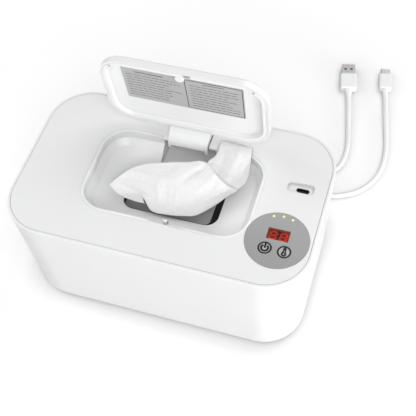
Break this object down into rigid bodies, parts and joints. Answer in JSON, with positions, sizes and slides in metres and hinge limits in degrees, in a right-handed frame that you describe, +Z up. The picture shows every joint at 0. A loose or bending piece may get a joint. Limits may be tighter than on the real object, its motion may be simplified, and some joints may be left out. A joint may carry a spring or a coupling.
{
  "type": "baby wipe warmer",
  "caption": "Tapered rounded box with an inner tub, a heated top cover, a flip lid over a dispensing tray, a round control panel and a free charging cable.",
  "frame": {"origin": "middle of the warmer's footprint on the surface it stands on, its charging cable left out", "axes": "+Z up, +X to the right along the width, -Y towards the user at the finger-notch side"},
  "size_m": [0.2501, 0.2945, 0.1702],
  "materials": {
    "housing_plastic": "glossy white ABS",
    "cover_plastic": "glossy white ABS",
    "tub_plastic": "white polypropylene",
    "liner_plastic": "satin white ABS",
    "key_plastic": "satin grey with a dark ring",
    "panel_grey": "satin grey film",
    "dark_plastic": "matte black",
    "board_laminate": "green solder mask",
    "heater_film": "amber polyimide film",
    "red_segments": "lit red",
    "smoked_window": "smoked clear plastic",
    "led_resin": "milky resin",
    "light_pipe": "clear diffusing plastic",
    "label_film": "bare grey printed film",
    "lead_insulation": "silicone insulation",
    "cable_plastic": "satin white",
    "cable_jacket": "satin white PVC",
    "orange_plastic": "orange-red plastic",
    "foot_rubber": "soft grey silicone",
    "seal_rubber": "black silicone",
    "foam": "closed-cell foam",
    "wet_wipe": "nonwoven, embossed",
    "fuse_glass": "clear",
    "steel": "plated",
    "plug_metal": "nickel plated",
    "heater_aluminium": "brushed, grey anodised"
  },
  "bodies": {
    "housing": {"outer_housing": "housing_plastic", "feet": "foot_rubber", "inner_tub": "tub_plastic", "wipe_stack": "wet_wipe", "usb_a_shell": "plug_metal", "usb_a_tongue": "orange_plastic", "usb_a_overmould": "cable_plastic", "usb_a_strain_relief": "cable_plastic", "usb_c_shell": "plug_metal", "usb_c_overmould": "cable_plastic", "usb_c_strain_relief": "cable_plastic", "usb_a_cord": "cable_jacket", "usb_c_cord": "cable_jacket", "cord_coil": "cable_jacket"},
    "cover": {"top_cover": "cover_plastic", "hinge_pin": "steel", "cover_underside": "tub_plastic", "underside_screws": "steel", "heater_plate": "heater_aluminium", "plate_seal": "seal_rubber", "heater_film": "heater_film", "insulation_pad": "foam", "thermal_fuse": "fuse_glass", "thermistor": "dark_plastic", "circuit_board": "board_laminate", "board_screws": "steel", "board_parts": "dark_plastic", "usb_c_receptacle": "steel", "display_module": "dark_plastic", "display_digits": "red_segments", "display_window": "smoked_window", "status_leds": "led_resin", "light_pipes": "light_pipe", "panel_overlay": "panel_grey", "key_switches": "dark_plastic", "heater_leads": "lead_insulation", "sensor_leads": "lead_insulation", "pulled_wipe": "wet_wipe"},
    "lid": {"lid_shell": "cover_plastic", "lid_liner": "liner_plastic", "lid_label": "label_film", "lid_bumpers": "foot_rubber"},
    "power_key": {"power_key": "key_plastic", "power_plunger": "dark_plastic"},
    "temperature_key": {"temperature_key": "key_plastic", "temperature_plunger": "dark_plastic"}
  },
  "joints": [
    {"name": "cover_lift", "type": "slide", "parent": "housing", "child": "cover", "axis": [0, 0, 1], "range_m": [0, 0.06]},
    {"name": "lid_hinge", "type": "hinge", "parent": "cover", "child": "lid", "pos_m": [0, 0.04515, 0.091], "axis": [1, 0, 0], "range_deg": [0, 83.3], "deforming": ["pulled_wipe"]},
    {"name": "power_key_press", "type": "slide", "parent": "cover", "child": "power_key", "axis": [0, 0, -1], "range_m": [0, 0.0004], "stiffness_N_per_m": 800, "springref_m": -0.0002},
    {"name": "temperature_key_press", "type": "slide", "parent": "cover", "child": "temperature_key", "axis": [0, 0, -1], "range_m": [0, 0.0004], "stiffness_N_per_m": 800, "springref_m": -0.0002}
  ]
}
